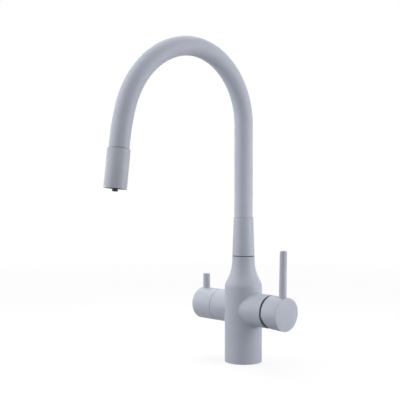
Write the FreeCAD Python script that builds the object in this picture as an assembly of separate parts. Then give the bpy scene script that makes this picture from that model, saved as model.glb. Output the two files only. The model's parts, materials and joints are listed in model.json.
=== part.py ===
import FreeCAD, Part

import math
import os

from FreeCAD import Vector

# Mixer tap with a flexible spout. Millimetres.
# Origin: the middle of the body's base on the worktop. +Z is up, -Y is the
# side that the spout reaches over, +X is the side of the mixing handle.

# Fits between pieces
RUNNING = 0.05
SEATED = 0.10
LOOSE = 0.30

# How far a cutting shape runs past the face that it cuts
PAST = 1.0

# Shorter than any span of the spout
NEARLY = 1e-6

# Body casting
BODY_RADIUS = 25.0
BASE_ROUND = 0.4
SHOULDER_START = 100.6
SHOULDER_CREST = 15.0
SHOULDER_SWEEP = 55.0
SHOULDER_ANGLE = 27.0
NECK_RADIUS = 15.05
NECK_TOP = 141.8
BRANCH_HEIGHT = 71.9
RIM_ROUND = 0.3
BRANCH_FILLET = 3.5

# Underside: supply ports on a circle round the central stud hole
PORT_CIRCLE = 12.5
PORT_ANGLE = 60.0
PORT_RADIUS = 4.46
PORT_DEPTH = 14.0
STUD_RADIUS = 3.4
STUD_DEPTH = 16.0
BASE_SEAL_RADIUS = 22.6
BASE_SEAL_WIDTH = 2.6
BASE_SEAL_HEIGHT = 1.8

# Waterways in the casting
SUPPLY_WAY = 3.5
MIXED_WAY = 2.8
FILTER_WAY = 1.8
MIXED_RISER_X = 8.0

# Front branch with the mixing cartridge
FRONT_RADIUS = 21.95
FRONT_END = 48.3
CARTRIDGE_SEAT = 22.0
CARTRIDGE_RADIUS = 17.5
CARTRIDGE_WALL = 2.1
CARTRIDGE_BASE_THICK = 3.7
SEAL_THICK = 1.9
SEAL_WALL = 2.0
SEAL_STAND_OFF = 0.3
INLET_Y = 6.5
INLET_Z = 4.0
OUTLET_Z = -6.5
DISC_PORT = 2.2
DISC_FIXED_RADIUS = 14.8
DISC_FIXED_THICK = 3.4
DISC_MOVING_RADIUS = 12.2
DISC_MOVING_THICK = 3.0
DISC_OFFSET = 2.7
DISC_POCKET_RADIUS = 7.0
DISC_POCKET_Z = -0.5
CARRIER_RADIUS = 11.0
CARRIER_THICK = 4.4
CARRIER_FLOOR = 1.0
TONGUE_WIDTH = 8.0
TONGUE_HEIGHT = 12.0
TONGUE_DEPTH = 2.3
ROTOR_FLANGE_THICK = 3.1
ROTOR_NECK = 9.5
HOUSING_SHOULDER = 42.6
HOUSING_NECK = 12.4
HOUSING_END = 56.0
NUT_RADIUS = 18.9
NUT_THICK = 3.8
NUT_SLOTS = 4
NUT_SLOT_WIDTH = 3.0
NUT_SLOT_DEPTH = 3.2
COVER_SPHERE = 20.7
COVER_BORE = 17.5
COVER_END = 58.0
COVER_SPIGOT = 1.6

# Handle: at rest its cap droops by LEVER_REST, the lever leans back by LEVER_LEAN against the cap,
# and the whole tips out by LEVER_TRAVEL
TILT_PIVOT_X = 50.0
LEVER_REST = 2.6
LEVER_LEAN = 1.6
LEVER_TRAVEL = 20.0
STEM_SIDE = 8.0
STEM_NECK = 2.4
STEM_BALL = 2.9
STEM_ARM = 12.9
STEM_SQUARE_TAIL = 5.2
STEM_END = 73.2
PIVOT_PIN_RADIUS = 1.5
CAP_RIM = 51.2
CAP_REAR_RADIUS = 21.9
CAP_FACE_RADIUS = 21.95
CAP_FACE = 76.85
CAP_EDGE = 0.5
CAP_WEB = 65.3
CAP_RELIEF = 1.4
HANDLE_LEVER_X = 68.8
HANDLE_LEVER_BASE = 4.95
HANDLE_LEVER_TIP = 4.65
HANDLE_LEVER_TOP = 154.0
HANDLE_LEVER_ROUND = 2.2

# Rear branch with the filtered-water valve
REAR_RADIUS = 21.5
REAR_END = 43.3
VALVE_SEAT = 20.0
VALVE_THREAD = 10.35
VALVE_THREAD_LENGTH = 10.0
VALVE_POCKET = 15.5
VALVE_HEX = 24.0
VALVE_HEX_THICK = 5.0
VALVE_NECK = 9.0
VALVE_END = 46.0
VALVE_DISC_RADIUS = 7.9
VALVE_FIXED_THICK = 3.0
VALVE_MOVING_THICK = 2.6
VALVE_PORT_Z = 4.5
VALVE_SEAL_THICK = 1.2
VALVE_SEAL_RADIUS = 9.6
SPINDLE_RADIUS = 4.0
SPINDLE_FLANGE_THICK = 2.4
SPINDLE_END = 74.0
SPINDLE_RING_AT = 38.0
SPINDLE_RING_SECTION = 1.6
SPINDLE_GROOVE = 3.2
CLIP_THICK = 0.8
CLIP_RADIUS = 6.5
KNOB_GAP = 0.4
KNOB_END = 77.8
KNOB_EDGE = 1.0
KNOB_CAVITY = 18.5
KNOB_WEB = 60.0
KNOB_LEVER_X = 70.8
KNOB_LEVER_BASE = 4.95
KNOB_LEVER_TIP = 4.8
KNOB_LEVER_TOP = 113.3
KNOB_LEVER_ROUND = 0.7

# Lever seats and grub screws, the same on both handles
LEVER_SEAT = 18.5
LEVER_STUD = 2.95
LEVER_STUD_LENGTH = 9.0
GRUB_RADIUS = 3.0
GRUB_LENGTH = 8.0
GRUB_SOCKET = 1.5
GRUB_MOUTH = 3.6

# Swivel in the neck
NECK_FLOOR = 107.5
NECK_BORE = 11.0
SPIGOT_RADIUS = 5.0
SPIGOT_LENGTH = 8.0
STEM_CHAMBER = 1.5
FILTER_STEM_BORE = 2.0
FILTER_STEM_TURN = 122.0
MIXED_STEM_BORE = 2.6
RETAINER_HEIGHT = 2.0
RETAINER_BELOW_TOP = 5.5
RETAINER_RADIUS = 12.2
RETAINER_SLOT = 3.0
RING_SECTION = 2.0
RING_GROOVE = 9.2
WASHER_THICK = 0.9
WASHER_RADIUS = 14.3
SWIVEL_GAP = 1.0
STEM_THREAD = 11.95
STEM_THREAD_LENGTH = 7.8

# Collar above the swivel
COLLAR_RADIUS_LOW = 15.0
COLLAR_RADIUS_TOP = 13.15
COLLAR_LENGTH = 51.05
COLLAR_EDGE = 0.35
FERRULE_FLOOR = 8.0
FERRULE_GRIP = 8.0
FERRULE_BORE = 7.6
SLEEVE_STAND_OFF = 1.0

# Flexible spout: a straight rise, then three arcs and a short straight end.
# Each arc has its radius and its angle in degrees.
SPOUT_RISE = 317.4
SPOUT_RADII = (95.8, 115.9, 258.4)
SPOUT_ANGLES = (101.26, 61.86, 9.64)
SPOUT_TAIL = 7.7
SLEEVE_RADIUS = 12.35
SLEEVE_WALL = 2.55
GOOSENECK_RADIUS = 9.5
GOOSENECK_BORE = 7.8
FLEX_JOINTS = 5
FLEX_MARGIN = 40.0
FLEX_GAP = 1.8
MIXED_HOSE_X = 2.6
MIXED_HOSE_RADIUS = 4.4
MIXED_HOSE_BORE = 3.1
FILTER_TUBE_X = -4.7
FILTER_TUBE_RADIUS = 2.4
FILTER_TUBE_BORE = 1.6

# Nozzle at the end of the spout
NOZZLE_RADIUS = 13.9
NOZZLE_LENGTH = 47.0
NOZZLE_BORE = 12.0
NOZZLE_EDGE = 0.35
SLEEVE_SOCKET_DEPTH = 6.0
ADAPTER_END = 18.0
ADAPTER_SOCKET = 10.0
HOSE_SOCKET_END = 14.0
AERATOR_START = 33.0
AERATOR_SETBACK = 0.7
AERATOR_JETS = 18
AERATOR_JET_RADIUS = 0.8
AERATOR_JET_CIRCLE = 8.6
AERATOR_SEAL_THICK = 1.4
AERATOR_SEAL_WIDTH = 2.3
OUTLET_RADIUS = 3.55
OUTLET_BORE = 2.3
OUTLET_STAND_OUT = 3.3

UP = Vector(0, 0, 1)
ALONG_X = Vector(1, 0, 0)
ALONG_Y = Vector(0, 1, 0)
TILT_PIVOT = Vector(TILT_PIVOT_X, 0, BRANCH_HEIGHT)


def polygon(points):
    """A closed polygon of (radius, station) points in the XZ plane."""
    corners = [Vector(radius, 0, station) for radius, station in points]
    return Part.makePolygon(corners + corners[:1])


def turned(points):
    """A solid of revolution about Z from (radius, station) points."""
    return Part.Face(polygon(points)).revolve(Vector(), UP, 360)


def turned_edges(edges):
    """A solid of revolution about Z from a closed chain of edges."""
    return Part.Face(Part.Wire(edges)).revolve(Vector(), UP, 360)


def rod(radius, start, end):
    """A plain cylinder about Z between two stations."""
    return Part.makeCylinder(radius, end - start, Vector(0, 0, start))


def pipe(outer, inner, start, end):
    """A plain ring about Z between two stations."""
    return turned([(inner, start), (outer, start), (outer, end), (inner, end)])


def line(start, end):
    """An edge between two (radius, station) points."""
    return Part.makeLine(Vector(start[0], 0, start[1]), Vector(end[0], 0, end[1]))


def arc(start, middle, end):
    """An arc through three (radius, station) points."""
    points = [Vector(radius, 0, station) for radius, station in (start, middle, end)]
    return Part.Arc(*points).toShape()


def to_front(shape):
    """Lays a shape built about Z along +X, on the axis of the branches."""
    shape.rotate(Vector(), ALONG_Y, 90)
    shape.translate(Vector(0, 0, BRANCH_HEIGHT))
    return shape


def to_rear(shape):
    """Lays a shape built about Z along -X, on the axis of the branches."""
    shape.rotate(Vector(), ALONG_Y, -90)
    shape.translate(Vector(0, 0, BRANCH_HEIGHT))
    return shape


def across(radius, start, end, y=0.0, z=0.0):
    """A cylinder along X between two places, beside the axis of the branches."""
    base = Vector(min(start, end), y, BRANCH_HEIGHT + z)
    return Part.makeCylinder(radius, abs(end - start), base, ALONG_X)


def upright(radius, start, end, x=0.0, y=0.0):
    """A vertical cylinder between two heights."""
    return Part.makeCylinder(radius, end - start, Vector(x, y, start))


def block(x, y, z):
    """A box from three (low, high) pairs."""
    return Part.makeBox(x[1] - x[0], y[1] - y[0], z[1] - z[0], Vector(x[0], y[0], z[0]))


def port_places():
    """Places of the hot, cold and filtered supply ports."""
    angles = (PORT_ANGLE, -PORT_ANGLE, 180.0)
    turns = [math.radians(angle) for angle in angles]
    return [(PORT_CIRCLE * math.cos(turn), PORT_CIRCLE * math.sin(turn)) for turn in turns]


def shoulder_points():
    """Corner and middle points of the sweep from the body up to the neck."""
    full = math.radians(SHOULDER_ANGLE)
    half = full / 2
    crest_x = BODY_RADIUS - SHOULDER_CREST
    crest = [(crest_x + SHOULDER_CREST * math.cos(turn), SHOULDER_START + SHOULDER_CREST * math.sin(turn))
             for turn in (0.0, half, full)]
    sweep_x = NECK_RADIUS + SHOULDER_SWEEP
    foot_radius = sweep_x - SHOULDER_SWEEP * math.cos(full)
    flank_height = (crest[2][0] - foot_radius) / math.tan(full)
    sweep_top = crest[2][1] + flank_height + SHOULDER_SWEEP * math.sin(full)
    sweep = [(sweep_x - SHOULDER_SWEEP * math.cos(turn), sweep_top - SHOULDER_SWEEP * math.sin(turn))
             for turn in (full, half, 0.0)]
    return crest, sweep


def body_column():
    """The outside of the column, from the base to the swivel."""
    crest, sweep = shoulder_points()
    slant = BASE_ROUND * (1 - math.sqrt(0.5))
    base = ((BODY_RADIUS - BASE_ROUND, 0), (BODY_RADIUS - slant, slant), (BODY_RADIUS, BASE_ROUND))
    top_inside = (NECK_RADIUS - RIM_ROUND, NECK_TOP)
    edges = [
        line((0, 0), base[0]),
        arc(*base),
        line(base[2], crest[0]),
        arc(*crest),
        line(crest[2], sweep[0]),
        arc(*sweep),
        line(sweep[2], (NECK_RADIUS, NECK_TOP - RIM_ROUND)),
        line((NECK_RADIUS, NECK_TOP - RIM_ROUND), top_inside),
        line(top_inside, (0, NECK_TOP)),
        line((0, NECK_TOP), (0, 0)),
    ]
    return turned_edges(edges)


def branch(radius, end):
    """A branch with its rim eased."""
    return turned([(0, 0), (radius, 0), (radius, end - RIM_ROUND), (radius - RIM_ROUND, end), (0, end)])


def branch_roots(casting):
    """The edges where the branches meet the column."""
    roots = []
    for edge in casting.Edges:
        first, last = edge.ParameterRange
        points = [edge.valueAt(parameter) for parameter in (first, (first + last) / 2, last)]
        from_column = [math.hypot(point.x, point.y) - BODY_RADIUS for point in points]
        from_axis = [math.hypot(point.y, point.z - BRANCH_HEIGHT) for point in points]
        for radius in (FRONT_RADIUS, REAR_RADIUS):
            if max(abs(gap) for gap in from_column + [reach - radius for reach in from_axis]) < SEATED:
                roots.append(edge)
    return roots


def swivel_bores():
    """The neck bore, its spigot bore and the groove of the retaining ring."""
    retainer_low, retainer_top = retainer_span()
    return [
        rod(NECK_BORE, NECK_FLOOR, NECK_TOP),
        rod(SPIGOT_RADIUS + RUNNING, NECK_FLOOR - SPIGOT_LENGTH, NECK_FLOOR),
        pipe(RETAINER_RADIUS + SEATED, NECK_BORE, retainer_low - SEATED, retainer_top + SEATED),
    ]


def retainer_span():
    """Lower and upper face of the retaining ring in the neck."""
    low = NECK_TOP - RETAINER_BELOW_TOP
    return low, low + RETAINER_HEIGHT


def waterways():
    """Supply, mixed and filtered ways drilled through the casting."""
    hot, cold, filtered = port_places()
    ways = []
    for place, side in ((hot, 1), (cold, -1)):
        ways.append(upright(SUPPLY_WAY, PORT_DEPTH, BRANCH_HEIGHT + INLET_Z, *place))
        ways.append(across(DISC_PORT, place[0], CARTRIDGE_SEAT, side * INLET_Y, INLET_Z))
    ways.append(upright(MIXED_WAY, BRANCH_HEIGHT + OUTLET_Z, NECK_FLOOR, MIXED_RISER_X))
    ways.append(across(DISC_PORT, MIXED_RISER_X, CARTRIDGE_SEAT, 0, OUTLET_Z))
    ways.append(upright(FILTER_WAY, PORT_DEPTH, BRANCH_HEIGHT - VALVE_PORT_Z, *filtered))
    ways.append(across(FILTER_WAY, filtered[0], -VALVE_SEAT, 0, -VALVE_PORT_Z))
    ways.append(across(FILTER_WAY, 0, -VALVE_SEAT, 0, VALVE_PORT_Z))
    ways.append(upright(FILTER_WAY, BRANCH_HEIGHT + VALVE_PORT_Z, NECK_FLOOR - SPIGOT_LENGTH))
    return ways


def underside():
    """Supply ports, stud hole and the groove of the base seal."""
    cuts = [upright(PORT_RADIUS, 0, PORT_DEPTH, *place) for place in port_places()]
    cuts.append(upright(STUD_RADIUS, 0, STUD_DEPTH))
    inner = BASE_SEAL_RADIUS - BASE_SEAL_WIDTH
    cuts.append(pipe(BASE_SEAL_RADIUS + SEATED, inner - SEATED, 0, BASE_SEAL_HEIGHT))
    return cuts


def body_casting():
    """The brass casting: column, both branches, bores and waterways."""
    outside = body_column()
    front = to_front(branch(FRONT_RADIUS, FRONT_END))
    rear = to_rear(branch(REAR_RADIUS, REAR_END))
    outside = outside.fuse([front, rear])
    outside = outside.makeFillet(BRANCH_FILLET, branch_roots(outside))
    thread_start = HOUSING_SHOULDER - NUT_THICK / 2
    cuts = swivel_bores() + waterways() + underside()
    cuts.append(across(CARTRIDGE_RADIUS + SEATED, CARTRIDGE_SEAT, FRONT_END))
    cuts.append(across(NUT_RADIUS + SEATED, thread_start, FRONT_END))
    cuts.append(across(VALVE_THREAD + RUNNING, -VALVE_SEAT, -REAR_END))
    cuts.append(across(VALVE_POCKET, -(VALVE_SEAT + VALVE_SEAL_THICK + VALVE_THREAD_LENGTH), -REAR_END))
    return outside.cut(cuts).removeSplitter()


def base_seal():
    """The flat ring that seals the base to the worktop."""
    return pipe(BASE_SEAL_RADIUS, BASE_SEAL_RADIUS - BASE_SEAL_WIDTH, 0, BASE_SEAL_HEIGHT - SEATED)


def cartridge_places():
    """Places of the two inlets and the outlet on the cartridge's faces."""
    return ((INLET_Y, INLET_Z), (-INLET_Y, INLET_Z), (0.0, OUTLET_Z))


def drilled(shape, start, end, radius):
    """Cuts the cartridge's three ways through a shape."""
    return shape.cut([across(radius, start, end, y, z) for y, z in cartridge_places()])


BASE_START = CARTRIDGE_SEAT + SEAL_STAND_OFF
BASE_END = BASE_START + CARTRIDGE_BASE_THICK
SEAL_POCKET_END = CARTRIDGE_SEAT + SEAL_THICK
SEAL_OUTER = DISC_PORT + SEAL_WALL
DISC_START = BASE_END + RUNNING
DISC_FACE = DISC_START + DISC_FIXED_THICK
CARRIER_START = DISC_FACE + RUNNING + DISC_MOVING_THICK + RUNNING
CARRIER_END = CARRIER_START + CARRIER_THICK
ROTOR_START = CARRIER_END + LOOSE
ROTOR_FLANGE_END = ROTOR_START + ROTOR_FLANGE_THICK
CAVITY_RADIUS = CARTRIDGE_RADIUS - CARTRIDGE_WALL
DISC_SHIFT = STEM_ARM * math.sin(math.radians(LEVER_REST))


def cartridge_base():
    """The cartridge's base plate with pockets for its three seals."""
    plate = across(CARTRIDGE_RADIUS, BASE_START, BASE_END)
    plate = drilled(plate, BASE_START, BASE_END, DISC_PORT)
    return drilled(plate, BASE_START, SEAL_POCKET_END, SEAL_OUTER + SEATED)


def cartridge_seals():
    """The three seals between the cartridge and its seat in the casting."""
    rings = []
    for y, z in cartridge_places():
        outer = across(SEAL_OUTER, CARTRIDGE_SEAT, SEAL_POCKET_END, y, z)
        rings.append(outer.cut(across(DISC_PORT, CARTRIDGE_SEAT, SEAL_POCKET_END, y, z)))
    return Part.makeCompound(rings)


def ceramic_fixed_disc():
    """The ceramic disc that stays still."""
    return drilled(across(DISC_FIXED_RADIUS, DISC_START, DISC_FACE), DISC_START, DISC_FACE, DISC_PORT)


def ceramic_moving_disc():
    """The ceramic disc that the stem slides and turns, with its mixing pocket."""
    start = DISC_FACE + RUNNING
    end = start + DISC_MOVING_THICK
    shift = DISC_SHIFT - DISC_OFFSET
    disc = across(DISC_MOVING_RADIUS, start, end, 0, shift)
    pocket = across(DISC_POCKET_RADIUS, start, start + DISC_MOVING_THICK / 2, 0, shift + DISC_POCKET_Z)
    return disc.cut(pocket)


def disc_carrier():
    """The carrier that clips over the moving disc and takes the stem's ball."""
    middle = BRANCH_HEIGHT + DISC_SHIFT
    plate = across(CARRIER_RADIUS, CARRIER_START, CARRIER_END, 0, DISC_SHIFT - DISC_OFFSET)
    half = TONGUE_WIDTH / 2
    tongue = block((CARRIER_END, CARRIER_END + TONGUE_DEPTH), (-half, half),
                   (middle - TONGUE_HEIGHT / 2, middle + TONGUE_HEIGHT / 2))
    reach = STEM_BALL + LOOSE
    socket = block((CARRIER_START + CARRIER_FLOOR, CARRIER_END + TONGUE_DEPTH), (-reach, reach),
                   (middle - reach, middle + reach))
    return plate.fuse(tongue).cut(socket).removeSplitter()


def cartridge_rotor():
    """The rotor that turns with the handle and carries the pivot pin."""
    flange = across(CAVITY_RADIUS - LOOSE, ROTOR_START, ROTOR_FLANGE_END)
    neck = across(ROTOR_NECK, ROTOR_START, HOUSING_END + SEATED)
    most = math.radians(LEVER_REST + LEVER_TRAVEL)
    wide = STEM_SIDE / 2 + LOOSE / 2
    clear = STEM_SIDE / 2 / math.cos(most) + LOOSE
    swing = (HOUSING_END + SEATED - TILT_PIVOT_X) * math.tan(most)
    outer_slot = block((TILT_PIVOT_X, HOUSING_END + PAST), (-wide, wide),
                       (BRANCH_HEIGHT - clear - swing, BRANCH_HEIGHT + clear))
    tail_swing = clear + STEM_SQUARE_TAIL * math.tan(most)
    neck_swing = STEM_NECK / math.cos(most) + LOOSE + (TILT_PIVOT_X - ROTOR_START) * math.tan(most)
    inner_slot = block((ROTOR_START, TILT_PIVOT_X), (-wide, wide),
                       (BRANCH_HEIGHT - clear, BRANCH_HEIGHT + max(tail_swing, neck_swing)))
    travel = STEM_ARM * most + LOOSE
    half = TONGUE_WIDTH / 2 + SEATED
    channel = block((ROTOR_START, CARRIER_END + TONGUE_DEPTH + LOOSE), (-half, half),
                    (BRANCH_HEIGHT - TONGUE_HEIGHT / 2 - LOOSE, BRANCH_HEIGHT + TONGUE_HEIGHT / 2 + travel))
    pin_hole = Part.makeCylinder(PIVOT_PIN_RADIUS, 2 * ROTOR_NECK,
                                 TILT_PIVOT - ALONG_Y * ROTOR_NECK, ALONG_Y)
    return flange.fuse(neck).cut([outer_slot, inner_slot, channel, pin_hole]).removeSplitter()


def stem_pivot_pin():
    """The pin that the stem tilts on."""
    half = ROTOR_NECK - LOOSE
    return Part.makeCylinder(PIVOT_PIN_RADIUS, 2 * half, TILT_PIVOT - ALONG_Y * half, ALONG_Y)


def cartridge_housing():
    """The cartridge's cup with the neck that guides the rotor."""
    start = BASE_END + RUNNING
    roof = ROTOR_FLANGE_END + SEATED
    return to_front(turned([
        (CAVITY_RADIUS, start),
        (CARTRIDGE_RADIUS, start),
        (CARTRIDGE_RADIUS, HOUSING_SHOULDER),
        (HOUSING_NECK, HOUSING_SHOULDER),
        (HOUSING_NECK, HOUSING_END),
        (ROTOR_NECK + RUNNING, HOUSING_END),
        (ROTOR_NECK + RUNNING, roof),
        (CAVITY_RADIUS, roof),
    ]))


def nut_end():
    """Outer face of the nut that holds the cartridge."""
    return HOUSING_SHOULDER + RUNNING + NUT_THICK


def cartridge_nut():
    """The threaded ring that holds the cartridge down, with spanner slots."""
    start = HOUSING_SHOULDER + RUNNING
    nut = pipe(NUT_RADIUS, HOUSING_NECK + LOOSE, start, nut_end())
    half = NUT_SLOT_WIDTH / 2
    slots = []
    for index in range(NUT_SLOTS):
        slot = block((NUT_RADIUS - NUT_SLOT_DEPTH, NUT_RADIUS + PAST), (-half, half),
                     (nut_end() - NUT_THICK / 2, nut_end() + PAST))
        slot.rotate(Vector(), UP, 360 * index / NUT_SLOTS)
        slots.append(slot)
    return to_front(nut.cut(slots))


def on_sphere(radius, station):
    """Radius at a station on a ball of the given size about the tilt pivot."""
    return math.sqrt(radius ** 2 - (station - TILT_PIVOT_X) ** 2)


def cartridge_cover():
    """The ball-shaped ring in the mouth of the branch, under the handle cap."""
    foot = FRONT_END + RUNNING
    middle = (foot + COVER_END) / 2
    outer_foot = (on_sphere(COVER_SPHERE, foot), foot)
    outer_top = (on_sphere(COVER_SPHERE, COVER_END), COVER_END)
    spigot = foot - COVER_SPIGOT
    edges = [
        line((COVER_BORE, spigot), (NUT_RADIUS, spigot)),
        line((NUT_RADIUS, spigot), (NUT_RADIUS, foot)),
        line((NUT_RADIUS, foot), outer_foot),
        arc(outer_foot, (on_sphere(COVER_SPHERE, middle), middle), outer_top),
        line(outer_top, (COVER_BORE, COVER_END)),
        line((COVER_BORE, COVER_END), (COVER_BORE, spigot)),
    ]
    return to_front(turned_edges(edges))


def tipped(shape):
    """Tips a handle piece to the angle at which the lever rests."""
    shape.rotate(TILT_PIVOT, ALONG_Y, LEVER_REST)
    return shape


def handle_stem():
    """The stem: ball, round neck, and the square that the cap clamps."""
    half = STEM_SIDE / 2
    ball_x = TILT_PIVOT_X - STEM_ARM
    square_start = TILT_PIVOT_X - STEM_SQUARE_TAIL
    square = block((square_start, STEM_END), (-half, half), (BRANCH_HEIGHT - half, BRANCH_HEIGHT + half))
    neck = across(STEM_NECK, ball_x, square_start + PAST)
    ball = Part.makeSphere(STEM_BALL, Vector(ball_x, 0, BRANCH_HEIGHT))
    hole = Part.makeCylinder(PIVOT_PIN_RADIUS + RUNNING, STEM_SIDE, TILT_PIVOT - ALONG_Y * half, ALONG_Y)
    return tipped(square.fuse([neck, ball]).cut(hole).removeSplitter())


def leaned(shape):
    """Leans the mixing lever, or a cut for it, back about the middle of its seat."""
    seat = Vector(HANDLE_LEVER_X, 0, BRANCH_HEIGHT + LEVER_SEAT)
    shape.rotate(seat, ALONG_Y, -LEVER_LEAN)
    return shape


def lever_cuts(place, radius):
    """Stud hole and seat of a lever, at one place on a handle."""
    above = BRANCH_HEIGHT + LEVER_SEAT
    stud = upright(LEVER_STUD + RUNNING, above - LEVER_STUD_LENGTH - LOOSE, above, place)
    seat = upright(radius + SEATED, above, above + LEVER_SEAT, place)
    return [stud, seat]


def screw_cuts(place, hub):
    """Hole and mouth for a grub screw, at one place on a handle."""
    below = BRANCH_HEIGHT - hub
    screw = upright(GRUB_RADIUS + RUNNING, below - LEVER_SEAT, below, place)
    mouth = upright(GRUB_MOUTH, below - LEVER_SEAT - GRUB_MOUTH, below - GRUB_LENGTH - GRUB_MOUTH, place)
    return [screw, mouth]


def handle_cap():
    """The handle's cap: a cup with a ball-shaped inside and a relieved rim."""
    rim_inside = on_sphere(COVER_SPHERE + LOOSE, CAP_RIM)
    face_edge = (CAP_FACE_RADIUS - CAP_EDGE, CAP_FACE)
    slant = CAP_EDGE * (1 - math.sqrt(0.5))
    edges = [
        line((0, CAP_RIM), (CAP_REAR_RADIUS - RIM_ROUND, CAP_RIM)),
        line((CAP_REAR_RADIUS - RIM_ROUND, CAP_RIM), (CAP_REAR_RADIUS, CAP_RIM + RIM_ROUND)),
        line((CAP_REAR_RADIUS, CAP_RIM + RIM_ROUND), (CAP_FACE_RADIUS, CAP_FACE - CAP_EDGE)),
        arc((CAP_FACE_RADIUS, CAP_FACE - CAP_EDGE), (CAP_FACE_RADIUS - slant, CAP_FACE - slant), face_edge),
        line(face_edge, (0, CAP_FACE)),
        line((0, CAP_FACE), (0, CAP_RIM)),
    ]
    cap = to_front(turned_edges(edges))
    ball = Part.makeSphere(COVER_SPHERE + LOOSE, TILT_PIVOT)
    cavity = ball.common(across(rim_inside + PAST, CAP_RIM - PAST, CAP_WEB))
    half = STEM_SIDE / 2 + RUNNING
    socket = block((CAP_WEB - PAST, STEM_END + LOOSE), (-half, half),
                   (BRANCH_HEIGHT - half, BRANCH_HEIGHT + half))
    reach = 2 * CAP_REAR_RADIUS
    relief = block((FRONT_END - reach, FRONT_END + CAP_RELIEF), (-reach, reach),
                   (BRANCH_HEIGHT - reach, BRANCH_HEIGHT + reach))
    relief.rotate(TILT_PIVOT, ALONG_Y, -(LEVER_REST + LEVER_TRAVEL))
    cuts = [cavity, socket, relief] + screw_cuts(HANDLE_LEVER_X, half)
    cuts += [leaned(cut) for cut in lever_cuts(HANDLE_LEVER_X, HANDLE_LEVER_BASE)]
    return tipped(cap.cut(cuts).removeSplitter())


def lever(place, base, tip, top, edge):
    """A round lever with its stud, slightly tapered, with an eased top."""
    foot = BRANCH_HEIGHT + LEVER_SEAT + RUNNING
    slant = edge * (1 - math.sqrt(0.5))
    edges = [
        line((0, foot - LEVER_STUD_LENGTH), (LEVER_STUD, foot - LEVER_STUD_LENGTH)),
        line((LEVER_STUD, foot - LEVER_STUD_LENGTH), (LEVER_STUD, foot)),
        line((LEVER_STUD, foot), (base, foot)),
        line((base, foot), (tip, top - edge)),
        arc((tip, top - edge), (tip - slant, top - slant), (tip - edge, top)),
        line((tip - edge, top), (0, top)),
        line((0, top), (0, foot - LEVER_STUD_LENGTH)),
    ]
    shape = turned_edges(edges)
    shape.translate(Vector(place, 0, 0))
    return shape


def handle_lever():
    """The lever of the mixing handle."""
    upright_lever = lever(HANDLE_LEVER_X, HANDLE_LEVER_BASE, HANDLE_LEVER_TIP,
                          HANDLE_LEVER_TOP, HANDLE_LEVER_ROUND)
    return tipped(leaned(upright_lever))


def grub_screw(place, hub):
    """A grub screw with a six-sided socket, pressed up against the hub."""
    tip = BRANCH_HEIGHT - hub
    low = tip - GRUB_LENGTH
    screw = upright(GRUB_RADIUS, low, tip, place)
    turns = [math.radians(60 * index) for index in range(7)]
    corners = [Vector(place + GRUB_SOCKET * math.cos(turn), GRUB_SOCKET * math.sin(turn), low)
               for turn in turns]
    socket = Part.Face(Part.makePolygon(corners)).extrude(UP * (GRUB_LENGTH / 2))
    return screw.cut(socket)


def handle_grub_screw():
    """The grub screw that clamps the cap to the stem."""
    return tipped(grub_screw(HANDLE_LEVER_X, STEM_SIDE / 2))


VALVE_BODY_START = VALVE_SEAT + VALVE_SEAL_THICK
VALVE_THREAD_END = VALVE_BODY_START + VALVE_THREAD_LENGTH
VALVE_HEX_END = VALVE_THREAD_END + VALVE_HEX_THICK
VALVE_FACE = VALVE_BODY_START + VALVE_FIXED_THICK
SPINDLE_START = VALVE_FACE + RUNNING + VALVE_MOVING_THICK + RUNNING
SPINDLE_FLANGE_END = SPINDLE_START + SPINDLE_FLANGE_THICK


def filter_valve_housing():
    """The brass headwork of the filtered-water valve."""
    housing = turned([
        (VALVE_DISC_RADIUS + SEATED, VALVE_BODY_START),
        (VALVE_THREAD, VALVE_BODY_START),
        (VALVE_THREAD, VALVE_HEX_END),
        (VALVE_NECK, VALVE_HEX_END),
        (VALVE_NECK, VALVE_END),
        (SPINDLE_RADIUS + RUNNING, VALVE_END),
        (SPINDLE_RADIUS + RUNNING, SPINDLE_FLANGE_END + SEATED),
        (VALVE_DISC_RADIUS + SEATED, SPINDLE_FLANGE_END + SEATED),
    ])
    corner = VALVE_HEX / 2 / math.cos(math.radians(30))
    turns = [math.radians(60 * index) for index in range(7)]
    start = VALVE_THREAD_END + RUNNING
    corners = [Vector(corner * math.cos(turn), corner * math.sin(turn), start) for turn in turns]
    hexagon = Part.Face(Part.makePolygon(corners)).extrude(UP * (VALVE_HEX_END - start))
    hexagon = hexagon.cut(rod(VALVE_THREAD - PAST, start - PAST, VALVE_HEX_END + PAST))
    return to_rear(housing.fuse(hexagon).removeSplitter())


def filter_seat_seal():
    """The flat seal between the headwork and its seat."""
    return to_rear(pipe(VALVE_SEAL_RADIUS, VALVE_PORT_Z + FILTER_WAY, VALVE_SEAT, VALVE_BODY_START))


def filter_fixed_disc():
    """The valve's fixed ceramic disc with its two ways."""
    disc = rod(VALVE_DISC_RADIUS, VALVE_BODY_START, VALVE_FACE)
    holes = []
    for side in (1, -1):
        hole = rod(FILTER_WAY, VALVE_BODY_START, VALVE_FACE)
        hole.translate(Vector(side * VALVE_PORT_Z, 0, 0))
        holes.append(hole)
    return to_rear(disc.cut(holes))


def filter_moving_disc():
    """The valve's turning ceramic disc, with a channel across its face."""
    start = VALVE_FACE + RUNNING
    disc = rod(VALVE_DISC_RADIUS - RUNNING, start, start + VALVE_MOVING_THICK)
    reach = VALVE_PORT_Z + FILTER_WAY
    channel = block((-FILTER_WAY, FILTER_WAY), (-reach, reach), (start, start + VALVE_MOVING_THICK / 2))
    return to_rear(disc.cut(channel))


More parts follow.
